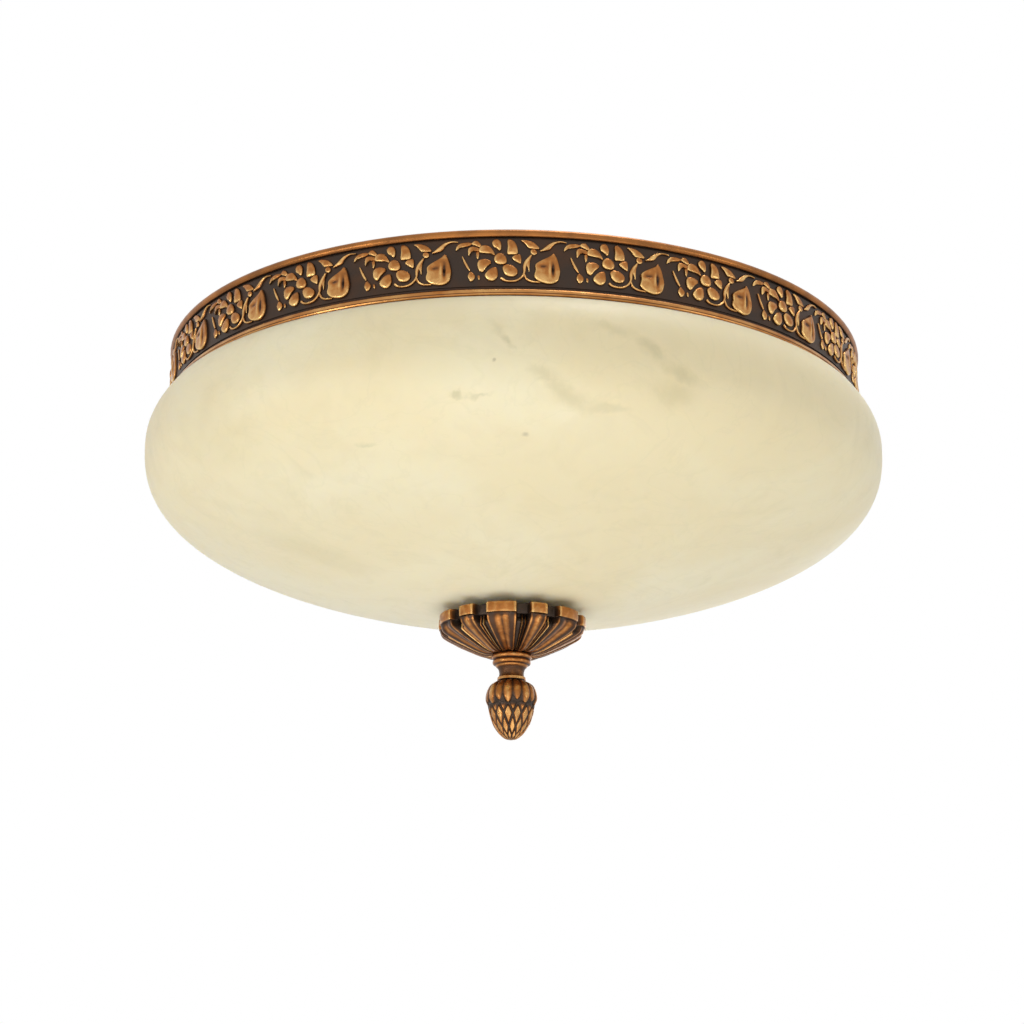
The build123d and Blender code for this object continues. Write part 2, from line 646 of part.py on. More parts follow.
def finial_neck():
    """Turned neck between the cup and the acorn: bead, ring, cove and collar."""
    bead = NECK_BEAD * NECK_LENGTH
    ring_low = CUP_BOTTOM - NECK_RING * NECK_LENGTH
    waist_z = CUP_BOTTOM - NECK_COVE * NECK_LENGTH
    collar = CUP_BOTTOM - NECK_COLLAR * NECK_LENGTH
    bead_foot = NECK_BEAD_RADIUS - bead / 2
    cove_top = NECK_RING_RADIUS - (NECK_RING_RADIUS - NECK_WAIST_RADIUS) / 3
    cove_middle = NECK_WAIST_RADIUS + (cove_top - NECK_WAIST_RADIUS) * 0.3
    return turned(
        corners((FINIAL_BORE, NECK_BOTTOM), (FINIAL_BORE, CUP_BOTTOM), (bead_foot, CUP_BOTTOM)),
        ThreePointArc(
            at(bead_foot, CUP_BOTTOM),
            at(NECK_BEAD_RADIUS, CUP_BOTTOM - bead / 2),
            at(bead_foot, CUP_BOTTOM - bead),
        ),
        corners(
            (bead_foot, CUP_BOTTOM - bead),
            (NECK_RING_RADIUS, CUP_BOTTOM - bead),
            (NECK_RING_RADIUS, ring_low),
            (cove_top, ring_low),
        ),
        arcs(
            (cove_top, ring_low),
            (cove_middle, ring_low + (waist_z - ring_low) * 0.4),
            (NECK_WAIST_RADIUS, waist_z),
        ),
        corners(
            (NECK_WAIST_RADIUS, waist_z),
            (NECK_WAIST_RADIUS - COLLAR_STEP, collar),
            (NECK_WAIST_RADIUS + COLLAR_STEP, collar),
            (NECK_WAIST_RADIUS + COLLAR_STEP, NECK_BOTTOM),
            (FINIAL_BORE, NECK_BOTTOM),
        ),
    )


def cupule_profile(proud):
    """Outline of the acorn's leafy cup, moved out by an amount, from its top to its edge."""
    across, down = CUPULE_SHOULDER
    return [
        (ACORN_NECK_RADIUS + proud, ACORN_TOP),
        (across * ACORN_RADIUS + proud, ACORN_TOP - down * CUPULE_LENGTH),
        (ACORN_RADIUS + proud, ACORN_TOP - CUPULE_BELLY * CUPULE_LENGTH),
        (CUPULE_EDGE * ACORN_RADIUS + proud, ACORN_TOP - CUPULE_LENGTH),
    ]


def cupule(proud):
    """Turned body of the acorn's leafy cup."""
    profile = cupule_profile(proud)
    top = profile[0]
    edge = profile[-1]
    return turned(
        curve(*profile),
        corners(edge, (0, edge[1]), (0, top[1]), top),
    )


def nut_body():
    """Turned body of the acorn's nut, down to its point."""
    edge = ACORN_TOP - CUPULE_LENGTH
    length = ACORN_LENGTH - CUPULE_LENGTH
    start = CUPULE_EDGE * ACORN_RADIUS - CUPULE_STEP
    tip = (0, ACORN_TOP - ACORN_LENGTH)
    bends = [(across * start, edge - down * length) for across, down in NUT_BENDS]
    root = edge + CUPULE_STEP
    return turned(
        curve((start, edge), *bends, tip),
        corners(tip, (0, root), (start, root), (start, edge)),
    )


def leaf():
    """Blank of one pointed leaf, cut from the side of the cupule."""
    half = LEAF_WIDTH / 2
    start = ROD_RADIUS / 2
    shoulder = ACORN_TOP - LEAF_SHOULDER * CUPULE_LENGTH
    point = ACORN_TOP - CUPULE_LENGTH + LEAF_POINT_RISE
    outline = Polyline(
        (start, half / 2, ACORN_TOP),
        (start, half, shoulder),
        (start, 0, point),
        (start, -half, shoulder),
        (start, -half / 2, ACORN_TOP),
        close=True,
    )
    return extrude(make_face(outline), amount=2 * ACORN_RADIUS, dir=(1, 0, 0))


def acorn():
    """Acorn nut that screws on the rod's end and holds the cup and the bowl up."""
    skin = cupule(LEAF_PROUD) - cupule(-LEAF_PROUD / 2)
    leaves = [skin & blank for blank in around(LEAF_COUNT, FIRST_LOBE, leaf())]
    depth = ROD_GRIP + ROD_END_GAP
    bore = Pos(0, 0, ACORN_TOP - depth / 2) * Cylinder(FINIAL_BORE, depth)
    return cupule(0) + nut_body() + leaves - bore


# ---------------------------------------------------------------- files
def pieces():
    """Every node's name with its solid or solids."""
    shapes = {
        "crossbar": crossbar(),
        "ground_screw": ground_screw(),
        "centre_rod": centre_rod(),
        "rod_nuts": rod_nuts(),
        "back_pan": back_pan(),
        "pan_screws": pan_screws(),
        "pan_washer": ring(
            PAN_WASHER_RADIUS, ROD_RADIUS + SEAT_GAP, PAN_FLOOR, WASHER_THICKNESS
        ),
        "lead_grommet": lead_grommet(),
        "terminal_block": terminal_block(),
        "terminal_screws": terminal_screws(),
        "block_screw": block_screw(),
        "band": band(),
        "rim_gasket": ring(
            RIM_INNER + GASKET_INSET + GASKET_WIDTH,
            RIM_INNER + GASKET_INSET,
            -BAND_HEIGHT,
            GASKET_THICKNESS,
        ),
        "lamp_bracket": lamp_bracket(),
        "bracket_washer": ring(
            BRACKET_WASHER_RADIUS, ROD_RADIUS + SEAT_GAP, BRACKET_UNDER, WASHER_THICKNESS
        ),
        "holder_screws": holder_screws(),
        "bowl": bowl(),
        "seat_washer": ring(
            SEAT_WASHER_RADIUS, BOWL_HOLE_RADIUS, FOOT_Z, SEAT_WASHER_THICKNESS
        ),
        "finial_cup": finial_cup(),
        "finial_neck": finial_neck(),
        "acorn": acorn(),
    }
    for number, angle in enumerate(LAMP_ANGLES, start=1):
        shapes[f"lampholder_{number}"] = on_lamp(angle, lampholder())
        shapes[f"socket_shell_{number}"] = on_lamp(angle, socket_shell())
        shapes[f"contact_{number}"] = on_lamp(angle, contact())
        shapes[f"bulb_tip_{number}"] = on_lamp(angle, bulb_tip())
        shapes[f"bulb_cap_{number}"] = on_lamp(angle, bulb_cap())
        shapes[f"bulb_glass_{number}"] = on_lamp(angle, bulb_glass())
    return shapes


def solids_of(shape):
    """The solids of a shape or of a list of shapes."""
    if isinstance(shape, list):
        return [solid for one in shape for solid in one.solids()]
    return list(shape.solids())


os.makedirs("parts", exist_ok=True)
for name, shape in pieces().items():
    found = solids_of(shape)
    whole = found[0] if len(found) == 1 else Compound(children=found)
    export_step(whole, f"parts/{name}.step")
    print(name, len(found))
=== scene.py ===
"""Flush ceiling light with an alabaster bowl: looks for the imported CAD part, in metres."""

import math

import bpy
import numpy as np
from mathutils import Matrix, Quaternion, Vector


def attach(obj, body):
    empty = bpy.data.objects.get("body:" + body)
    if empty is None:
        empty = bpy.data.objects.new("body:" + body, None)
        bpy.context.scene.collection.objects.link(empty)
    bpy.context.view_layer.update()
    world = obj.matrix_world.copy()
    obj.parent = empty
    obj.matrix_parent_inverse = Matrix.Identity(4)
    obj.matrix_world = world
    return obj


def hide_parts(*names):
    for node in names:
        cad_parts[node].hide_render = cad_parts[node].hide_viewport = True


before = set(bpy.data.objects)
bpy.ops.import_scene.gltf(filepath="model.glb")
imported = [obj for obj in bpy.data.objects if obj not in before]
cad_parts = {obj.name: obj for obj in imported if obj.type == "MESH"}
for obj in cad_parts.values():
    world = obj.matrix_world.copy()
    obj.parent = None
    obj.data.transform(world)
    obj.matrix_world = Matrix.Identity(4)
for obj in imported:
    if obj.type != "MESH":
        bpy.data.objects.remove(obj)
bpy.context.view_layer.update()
scene = bpy.context.scene

# ---------------------------------------------------------------- camera
# The photograph was taken from in front and from below, with a lens a little longer than
# normal. The light hangs in the middle of a square picture, which leans by half a degree.
aim = Vector((-0.0006, 0, -0.0921))
distance = 1.3049
below = math.radians(17.17)
lean = math.radians(0.5)
lens = bpy.data.cameras.new("camera")
lens.lens = 74.63
lens.sensor_width = 36
lens.clip_start = 0.05
camera = bpy.data.objects.new("camera", lens)
camera.location = aim - distance * Vector((0, math.cos(below), math.sin(below)))
level = (aim - camera.location).to_track_quat("-Z", "Y")
camera.rotation_euler = (level @ Quaternion((0, 0, 1), lean)).to_euler()
scene.collection.objects.link(camera)
scene.camera = camera

# ---------------------------------------------------------------- studio
# White surroundings where the camera looks and in what metal mirrors, a pale even room for
# everything else, six soft lamps round it and a pale floor at the foot of a room.
scene.view_settings.view_transform = "Standard"


def paint(red, green, blue):
    """A colour from its 0 to 255 values on screen."""
    out = []
    for value in (red, green, blue):
        share = value / 255
        out.append(share / 12.92 if share < 0.04045 else ((share + 0.055) / 1.055) ** 2.4)
    return (*out, 1)


def add(tree, kind, settings=None, **inputs):
    """Adds a node. An input goes by its name, or by i and its place, to a value or an output."""
    made = tree.nodes.new(kind)
    for key, value in (settings or {}).items():
        setattr(made, key, value)
    for key, value in inputs.items():
        slot = int(key[1:]) if key[0] == "i" and key[1:].isdigit() else key.replace("_", " ")
        if isinstance(value, bpy.types.NodeSocket):
            tree.links.new(value, made.inputs[slot])
        else:
            made.inputs[slot].default_value = value
    return made


def sum_of(tree, operation, first, second):
    """Two numbers through one sum."""
    return add(tree, "ShaderNodeMath", {"operation": operation}, i0=first, i1=second).outputs[0]


def span(tree, value, low, high, start=0.0, end=1.0):
    """Eases a value from one range to another."""
    made = add(
        tree,
        "ShaderNodeMapRange",
        {"interpolation_type": "SMOOTHSTEP"},
        Value=value,
        From_Min=low,
        From_Max=high,
        To_Min=start,
        To_Max=end,
    )
    return made.outputs[0]


def noise(tree, where, scale, detail=2.0, distortion=0.0):
    """Soft noise from about 0 to 1."""
    made = add(
        tree,
        "ShaderNodeTexNoise",
        Vector=where,
        Scale=scale,
        Detail=detail,
        Distortion=distortion,
    )
    return made.outputs["Fac"]


def blend(tree, share, first, second):
    """One colour over another by a share."""
    made = add(tree, "ShaderNodeMix", {"data_type": "RGBA"}, i0=share, i6=first, i7=second)
    return made.outputs[2]


def white_where_seen(tree, shader, room, share):
    """Whitens a shader by a share where it is looked at straight, in metal or through glass."""
    path = add(tree, "ShaderNodeLightPath").outputs
    mirrored = sum_of(tree, "MAXIMUM", path["Is Glossy Ray"], path["Is Transmission Ray"])
    seen = sum_of(tree, "MAXIMUM", path["Is Camera Ray"], mirrored)
    part = sum_of(tree, "MULTIPLY", seen, share)
    white = add(tree, shader, Color=(1, 1, 1, 1), Strength=1.0)
    mixed = add(tree, "ShaderNodeMixShader", i0=part, i1=room.outputs[0], i2=white.outputs[0])
    return mixed.outputs[0]


world = bpy.data.worlds.new("room")
world.use_nodes = True
tree = world.node_tree
tree.nodes.clear()
where = add(tree, "ShaderNodeTexCoord").outputs["Generated"]
height = add(tree, "ShaderNodeSeparateXYZ", Vector=where).outputs["Z"]
bright = span(tree, height, -0.3, 0.9, 0.69, 0.50)
room = add(tree, "ShaderNodeBackground", Color=(1.0, 0.985, 0.96, 1), Strength=bright)
mixed = white_where_seen(tree, "ShaderNodeBackground", room, 1.0)
add(tree, "ShaderNodeOutputWorld", Surface=mixed)
scene.world = world


def soft_lamp(name, place, power, size, tint):
    """A square soft lamp aimed at the light's middle."""
    data = bpy.data.lights.new(name, "AREA")
    data.energy = power
    data.size = size
    data.color = tint
    lamp = bpy.data.objects.new(name, data)
    lamp.location = place
    lamp.visible_camera = False
    lamp.rotation_euler = (aim - Vector(place)).to_track_quat("-Z", "Y").to_euler()
    scene.collection.objects.link(lamp)


soft_lamp("left lamp", (-1.1, -0.85, -0.5), 3.7, 0.42, (1, 0.97, 0.92))
soft_lamp("right lamp", (1.2, -0.75, -0.42), 1.5, 0.36, (1, 0.98, 0.95))
soft_lamp("front lamp", (-0.15, -1.5, -0.5), 2.6, 1.2, (1, 0.97, 0.92))
soft_lamp("low lamp", (0, -0.35, -0.92), 4.7, 1.1, (1, 0.97, 0.93))
soft_lamp("high lamp", (0.3, -0.2, 1.4), 9.0, 0.6, (1, 0.98, 0.96))
soft_lamp("back lamp", (0.4, 1.6, 0.15), 2.6, 0.8, (1, 0.98, 0.95))

floor_finish = bpy.data.materials.new("pale floor")
floor_finish.use_nodes = True
tree = floor_finish.node_tree
tree.nodes.clear()
where = add(tree, "ShaderNodeTexCoord").outputs["Object"]
shade = blend(tree, noise(tree, where, 3.0), paint(226, 225, 222), paint(236, 235, 232))
pale = add(tree, "ShaderNodeBsdfDiffuse", Color=shade)
mixed = white_where_seen(tree, "ShaderNodeEmission", pale, 0.6)
add(tree, "ShaderNodeOutputMaterial", Surface=mixed)
bpy.ops.mesh.primitive_plane_add(size=16, location=(0, 0, -2.4))
floor = bpy.context.object
floor.name = "floor"
floor.data.materials.append(floor_finish)

# ---------------------------------------------------------------- stone
# Cream alabaster, turned and waxed: broad clouds, faint grey-green streaks where the photograph
# shows them, two small specks, and a soft gloss.


def finish(name, **surface):
    """A new finish with its surface shader and its object coordinates."""
    made = bpy.data.materials.new(name)
    made.use_nodes = True
    tree = made.node_tree
    tree.nodes.clear()
    shader = add(tree, "ShaderNodeBsdfPrincipled", **surface)
    add(tree, "ShaderNodeOutputMaterial", Surface=shader.outputs[0])
    where = add(tree, "ShaderNodeTexCoord").outputs["Object"]
    return made, tree, shader, where


def dents(tree, shader, height, depth):
    """Small relief on a finish, in metres."""
    bump = add(tree, "ShaderNodeBump", Height=height, Distance=depth, Strength=1.0)
    tree.links.new(bump.outputs[0], shader.inputs["Normal"])


def mark(tree, where, start, end, width):
    """Share from 1 along a line between two places to 0 at its width."""
    start, end = Vector(start), Vector(end)
    turn = Vector((1, 0, 0)).rotation_difference(end - start).to_euler()
    length = (end - start).length / 2 + width
    local = add(
        tree,
        "ShaderNodeMapping",
        {"vector_type": "TEXTURE"},
        Vector=where,
        Location=(start + end) / 2,
        Rotation=turn,
        Scale=(length, width, width),
    )
    far = add(tree, "ShaderNodeVectorMath", {"operation": "LENGTH"}, i0=local.outputs[0])
    return span(tree, far.outputs["Value"], 1.0, 0.1)


def ragged(tree, where, scale, depth):
    """The same places, each pushed a little to and fro by noise."""
    wander = add(tree, "ShaderNodeTexNoise", Vector=where, Scale=scale, Detail=4.0)
    centred = add(
        tree,
        "ShaderNodeVectorMath",
        {"operation": "SUBTRACT"},
        i0=wander.outputs["Color"],
        i1=(0.5, 0.5, 0.5),
    )
    moved = add(
        tree,
        "ShaderNodeVectorMath",
        {"operation": "MULTIPLY_ADD"},
        i0=centred.outputs[0],
        i1=(depth, depth, depth),
        i2=where,
    )
    return moved.outputs[0]


stone, tree, surface, where = finish("alabaster")
surface.inputs["Subsurface Weight"].default_value = 0.6
surface.inputs["Subsurface Radius"].default_value = (1.0, 0.8, 0.5)
surface.inputs["Subsurface Scale"].default_value = 0.025
cream, pale_cream = paint(240, 222, 184), paint(246, 232, 199)
clouds = span(tree, noise(tree, where, 6.0, 4.0, 0.6), 0.36, 0.66)
colour = blend(tree, clouds, cream, pale_cream)
mottle = span(tree, noise(tree, where, 34.0, 5.0, 1.2), 0.45, 0.75)
colour = blend(tree, sum_of(tree, "MULTIPLY", mottle, 0.28), colour, paint(227, 211, 173))
threads = noise(tree, where, 16.0, 6.0, 1.6)
thread = sum_of(tree, "ABSOLUTE", sum_of(tree, "SUBTRACT", threads, 0.52), 0.0)
thread = sum_of(tree, "MULTIPLY", span(tree, thread, 0.020, 0.0), 0.08)
colour = blend(tree, thread, colour, paint(206, 196, 158))
# Each streak is its two ends, its width and how strongly it shows.
streaks = [
    ((0.0091, -0.2218, -0.0837), (0.0220, -0.2180, -0.0891), 0.0060, 0.42),
    ((0.0170, -0.2200, -0.0865), (0.0390, -0.2080, -0.0990), 0.0090, 0.50),
    ((0.0362, -0.2088, -0.0984), (0.0600, -0.2025, -0.0996), 0.0040, 0.36),
    ((0.0373, -0.2206, -0.0545), (0.0650, -0.2153, -0.0642), 0.0060, 0.35),
    ((0.0650, -0.2153, -0.0642), (0.0792, -0.2094, -0.0769), 0.0060, 0.50),
    ((0.0792, -0.2094, -0.0769), (0.0966, -0.2002, -0.0824), 0.0065, 0.55),
    ((0.0800, -0.2045, -0.0890), (0.0890, -0.2000, -0.0900), 0.0130, 0.40),
    ((-0.0121, -0.2237, -0.0558), (-0.0085, -0.2247, -0.0673), 0.0045, 0.30),
    ((-0.0085, -0.2247, -0.0673), (-0.0007, -0.2241, -0.0749), 0.0036, 0.55),
    ((-0.0344, -0.2141, -0.0926), (-0.0277, -0.2133, -0.0950), 0.0028, 0.55),
    ((-0.0277, -0.2133, -0.0950), (-0.0111, -0.2136, -0.0963), 0.0022, 0.40),
    ((-0.0850, -0.1765, -0.1108), (-0.0700, -0.1820, -0.1120), 0.0030, 0.35),
    ((-0.1850, -0.1180, -0.0860), (-0.1500, -0.1580, -0.1000), 0.0300, 0.22),
    ((-0.1450, -0.0700, -0.1300), (-0.0950, -0.0550, -0.1420), 0.0260, 0.25),
    ((0.0800, 0.2000, -0.0800), (0.1200, 0.1650, -0.1000), 0.0080, 0.50),
    ((-0.1800, 0.1200, -0.0850), (-0.1300, 0.1500, -0.1100), 0.0100, 0.45),
    ((0.2150, 0.0300, -0.0820), (0.1900, 0.0800, -0.1050), 0.0070, 0.45),
]
torn = ragged(tree, ragged(tree, where, 38.0, 0.016), 210.0, 0.005)
tint = None
for start, end, width, share in streaks:
    there = sum_of(tree, "MULTIPLY", mark(tree, torn, start, end, width), share)
    tint = there if tint is None else sum_of(tree, "MAXIMUM", tint, there)
colour = blend(tree, tint, colour, paint(198, 189, 150))
# Each speck is its middle, its size and how strongly it shows.
specks = [
    ((0.0061, -0.1969, -0.1102), 0.0024, 0.42),
    ((-0.0105, -0.2231, -0.0789), 0.0013, 0.50),
]
chip = ragged(tree, where, 300.0, 0.0016)
for middle, size, share in specks:
    ends = [[c + side * size * 0.4 for c in middle] for side in (-1, 1)]
    there = sum_of(tree, "MULTIPLY", mark(tree, chip, *ends, size), share)
    colour = blend(tree, there, colour, paint(150, 138, 108))
tree.links.new(colour, surface.inputs["Base Color"])
grain = noise(tree, where, 420.0, 3.0)
tree.links.new(span(tree, grain, 0.3, 0.7, 0.44, 0.54), surface.inputs["Roughness"])
dents(tree, surface, grain, 0.00008)

# ---------------------------------------------------------------- bowl
# One turned shell with the CAD's curves: full at the widest ring, flat at the rim and at the foot,
# nine millimetres thick, with a hole for the rod.
WIDEST = 0.22496  # radius, a hair inside the solid
WALL = 0.009
WAIST = -0.0631  # height of the widest ring
RIM = -0.039
RIM_ROUND = 0.0012
SHOULDER_HEIGHT = 0.0755  # at which the curve over the widest ring would close
SHOULDER_FULLNESS = 2.08
DEPTH = 0.097  # at which the curve under the widest ring would close
LOWER_FULLNESS = 2.66
LOWER_SLOPE = 1.2
FOOT_RADIUS = 0.020
HOLE_RADIUS = 0.006


def bowl_outline(wall, steps, inner_end):
    """Points of one face of the bowl, from the rim down to a radius."""
    widest = WIDEST - wall
    rise = SHOULDER_HEIGHT - wall
    fall = DEPTH - wall
    top = math.asin(((RIM - WAIST) / rise) ** (SHOULDER_FULLNESS / 2))
    low = math.acos((inner_end / widest) ** (LOWER_SLOPE / 2))
    points = []
    for i in range(steps // 4):
        turn = top * (1 - i / (steps // 4))
        radius = widest * math.cos(turn) ** (2 / SHOULDER_FULLNESS)
        points.append((radius, WAIST + rise * math.sin(turn) ** (2 / SHOULDER_FULLNESS)))
    for i in range(steps + 1):
        turn = low * i / steps
        radius = widest * math.cos(turn) ** (2 / LOWER_SLOPE)
        points.append((radius, WAIST - fall * math.sin(turn) ** (2 / LOWER_FULLNESS)))
    return points


def signed_volume(mesh):
    """Volume inside a mesh, negative where its faces look inward."""
    mesh.calc_loop_triangles()
    places = np.array([point.co for point in mesh.vertices])
    threes = np.array([list(face.vertices) for face in mesh.loop_triangles])
    a, b, c = places[threes[:, 0]], places[threes[:, 1]], places[threes[:, 2]]
    return float(np.einsum("ij,ij->i", a, np.cross(b, c)).sum() / 6)


def piece_of(name, points, faces, corner, wear_and_painted_light=None):
    """A smooth piece that keeps corners over an angle, with how far each point stands out and the
    light and shade painted on it.
    """
    mesh = bpy.data.meshes.new(name)
    mesh.from_pydata(points, [], faces)
    if signed_volume(mesh) < 0:
        mesh.flip_normals()
    mesh.shade_smooth()
    mesh.set_sharp_from_angle(angle=math.radians(corner))
    if wear_and_painted_light is not None:
        share = mesh.attributes.new("wear_and_painted_light", "FLOAT", "POINT")
        share.data.foreach_set("value", np.array(wear_and_painted_light, np.float32).ravel())
    made = bpy.data.objects.new(name, mesh)
    scene.collection.objects.link(made)
    return made


def turned(name, rings, columns, corner):
    """A closed shell round Z. A ring is its radius, its height and, on brass, its share of wear and
    of painted light and shade.
    """
    angle = np.arange(columns) * (2 * math.pi / columns)
    radius, level, *wear_and_painted_light = (np.array([v + 0 * angle for v in row]) for row in zip(*rings))
    points = np.stack([radius * np.cos(angle), radius * np.sin(angle), level], -1)
    index = np.arange(radius.size).reshape(radius.shape)
    beside = np.roll(index, -1, axis=1)
    quads = np.stack([index, beside, np.roll(beside, -1, axis=0), np.roll(index, -1, axis=0)], -1)
    return piece_of(
        name, points.reshape(-1, 3).tolist(), quads.reshape(-1, 4).tolist(), corner, *wear_and_painted_light
    )


outside = bowl_outline(0, 72, FOOT_RADIUS)
inside = bowl_outline(WALL, 48, HOLE_RADIUS)
foot = outside[-1][1]
rim_out, rim_in = outside[0][0], inside[0][0]
bowl = turned(
    "stone_bowl",
    [
        (rim_out - RIM_ROUND, RIM),
        (rim_out - RIM_ROUND / 3, RIM - RIM_ROUND / 4),
        *outside[1:],
        ((FOOT_RADIUS + HOLE_RADIUS) / 2, foot),
        (HOLE_RADIUS, foot),
        *reversed(inside[1:]),
        (rim_in + RIM_ROUND / 3, RIM - RIM_ROUND / 4),
        (rim_in + RIM_ROUND, RIM),
    ],
    288,
    40,
)
bowl.data.materials.append(stone)
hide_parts("bowl")
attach(bowl, "bowl_body")

# ---------------------------------------------------------------- antique brass
# Cast brass gone brown in its hollows and rubbed to gold where a hand or a cloth reaches it. The
# share written on each piece says how far a point stands out, and it also carries painted
# highlights and painted shade. The band keeps its CAD shape.
GROUND = 0.210985  # radius of the frieze's ground
BEAD_LINE = -0.0367  # height of the sunk line in the lower bead


def antique(name, wear_and_painted_light_of, patch_scale, unevenness):
    """Antique brass finish, with the way it finds what stands out and the light and shade painted
    on it.
    """
    made, tree, surface, where = finish(name, Metallic=0.88)
    patches = noise(tree, where, patch_scale, 4.0, 0.4)
    fine = noise(tree, where, 900.0, 3.0)
    wear_and_light = sum_of(tree, "MULTIPLY", patches, unevenness)
    wear_and_light = sum_of(tree, "ADD", wear_and_painted_light_of(tree, where), wear_and_light)
    wear_and_light = sum_of(tree, "SUBTRACT", wear_and_light, unevenness / 2)
    ramp = add(tree, "ShaderNodeValToRGB", Fac=wear_and_light)
    stops = ramp.color_ramp.elements
    stops[0].position = 0.08
    stops[0].color = paint(65, 54, 47)
    stops[1].position = 0.98
    stops[1].color = paint(228, 188, 122)
    stops.new(0.36).color = paint(88, 58, 37)
    stops.new(0.66).color = paint(168, 108, 54)
    tree.links.new(ramp.outputs[0], surface.inputs["Base Color"])
    tree.links.new(span(tree, wear_and_light, 0.1, 0.9, 0.46, 0.26), surface.inputs["Roughness"])
    both = sum_of(tree, "ADD", patches, sum_of(tree, "MULTIPLY", fine, 0.3))
    dents(tree, surface, both, 0.00025)
    return made


def from_share(tree, where):
    """What stands out, with its painted highlights and shade, from the share written on the piece.
    """
    return add(tree, "ShaderNodeAttribute", {"attribute_name": "wear_and_painted_light"}).outputs["Fac"]


def from_bands(tree, where):
    """What stands out of the band: its two beads, the lower one made brighter."""
    flat = add(tree, "ShaderNodeVectorMath", {"operation": "MULTIPLY"}, i0=where, i1=(1, 1, 0))
    far = add(tree, "ShaderNodeVectorMath", {"operation": "LENGTH"}, i0=flat.outputs[0])
    stands = span(tree, far.outputs["Value"], GROUND + 0.0001, GROUND + 0.0012, 0.12, 0.57)
    up = add(tree, "ShaderNodeSeparateXYZ", Vector=where).outputs["Z"]
    stands = sum_of(tree, "MULTIPLY", stands, span(tree, up, -0.034, -0.031, 1.28, 1.0))
    line = sum_of(tree, "ABSOLUTE", sum_of(tree, "SUBTRACT", up, BEAD_LINE), 0.0)
    return sum_of(tree, "MULTIPLY", stands, span(tree, line, 0.0, 0.0004, 0.35, 1.0))


brass = antique("antique brass", from_share, 260.0, 0.44)
band_brass = antique("band brass", from_bands, 70.0, 0.42)
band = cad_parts["band"]
band.data.materials.clear()
band.data.materials.append(band_brass)

# ---------------------------------------------------------------- frieze
# One flower with its leaves, vine and pear, cast with the band. It is modelled flat in millimetres
# from the flower's middle, across to the right and up towards the ceiling, then bent onto the
# band and repeated round it.
REPEATS = 23
FIRST_TURN = math.radians(-2.1)  # of the flower nearest the front
FRIEZE_MIDDLE = -0.01895  # height of the flowers' middles
MM = 0.001
PAINTED_LIGHT_SIDE = np.array([-0.55, -0.80])  # to the left and down, where edges get a painted highlight as if lit from there


def between(a, b, c, d, share):
    """Place on a smooth curve from b to c, which comes from a and goes on to d."""
    near = 2 * b + (c - a) * share + (2 * a - 5 * b + 4 * c - d) * share**2
    return 0.5 * near + 0.5 * (3 * b - a - 3 * c + d) * share**3


def smooth_loop(points, count):
    """Closed smooth curve through points."""
    points = np.array(points, float)
    total = len(points)
    out = []
    for i in range(count):
        place = i * total / count
        k = int(place)
        four = (points[(k + step) % total] for step in (-1, 0, 1, 2))
        out.append(between(*four, place - k))
    return np.array(out)


def smooth_path(points, count):
    """Open smooth curve through points."""
    points = np.array(points, float)
    whole = np.vstack([2 * points[0] - points[1], points, 2 * points[-1] - points[-2]])
    out = []
    for i in range(count):
        place = i * (len(points) - 1) / (count - 1)
        k = min(int(place), len(points) - 2)
        out.append(between(*whole[k : k + 4], place - k))
    return np.array(out)


relief = {"points": [], "faces": [], "wear_and_painted_light": []}


def put(points, faces, wear_and_painted_light):
    """Adds one form in relief to the frieze's motif."""
    start = len(relief["points"])
    relief["points"] += [tuple(point) for point in points]
    relief["faces"] += [tuple(start + corner for corner in face) for face in faces]
    relief["wear_and_painted_light"] += list(wear_and_painted_light)


def pillow(height, edge_points, count=28, rings=2, hollows=()):
    """A domed form with a rubbed edge that a painted highlight brightens on its lower left. A
    hollow is its place, its half sizes and its depth.
    """
    edge = smooth_loop(edge_points, count)
    heart = edge.mean(0)
    outward = (edge - heart) / np.linalg.norm(edge - heart, axis=1)[:, None]
    # How far each edge point faces the painted light, which comes from the left and below.
    wear_and_light = outward @ PAINTED_LIGHT_SIDE
    spread = min(0.18, 0.42 / np.linalg.norm(edge - heart, axis=1).mean())
    # Each ring is how far out it lies, its height, its shine and what the painted highlight on its
    # lit side adds to it.
    steps = [(1 + spread, -0.4, 0.0, 0.0), (1 + 0.94 * spread, 0.15, 0.25, 0.0)]
    steps += [(1 + 0.6 * spread, 0.50, 0.76, 0.30), (0.99, 0.76, 0.80, 0.26)]
    for ring in range(rings):
        inset = 0.99 * (1 - (ring + 1) / (rings + 1))
        steps.append((inset, 1 - 0.24 * (inset / 0.99) ** 2, 0.64 + 0.1 * inset, 0.1 * inset))
    points, wear_and_painted_light = [], []
    for inset, rise, shine, bright in steps:
        for place, lit in zip(heart + (edge - heart) * inset, wear_and_light):
            up, glow = height * rise, shine + bright * lit
            for middle, half, depth in hollows:
                apart = np.linalg.norm((place - np.array(middle)) / np.array(half))
                dip = depth * math.exp(-(apart**2)) if rise > 0.3 else 0
                up -= dip
                glow -= 0.5 * dip
            points.append((place[0], place[1], up))
            wear_and_painted_light.append(min(1.0, max(0.05, glow)))
    points.append((heart[0], heart[1], height))
    wear_and_painted_light.append(0.62)
    faces = []
    for ring in range(len(steps) - 1):
        for i in range(count):
            j = (i + 1) % count
            a, b = ring * count + i, ring * count + j
            faces.append((a, b, b + count, a + count))
    last = (len(steps) - 1) * count
    faces += [(last + i, last + (i + 1) % count, last + count) for i in range(count)]
    faces.append(tuple(reversed(range(count))))
    put(points, faces, wear_and_painted_light)


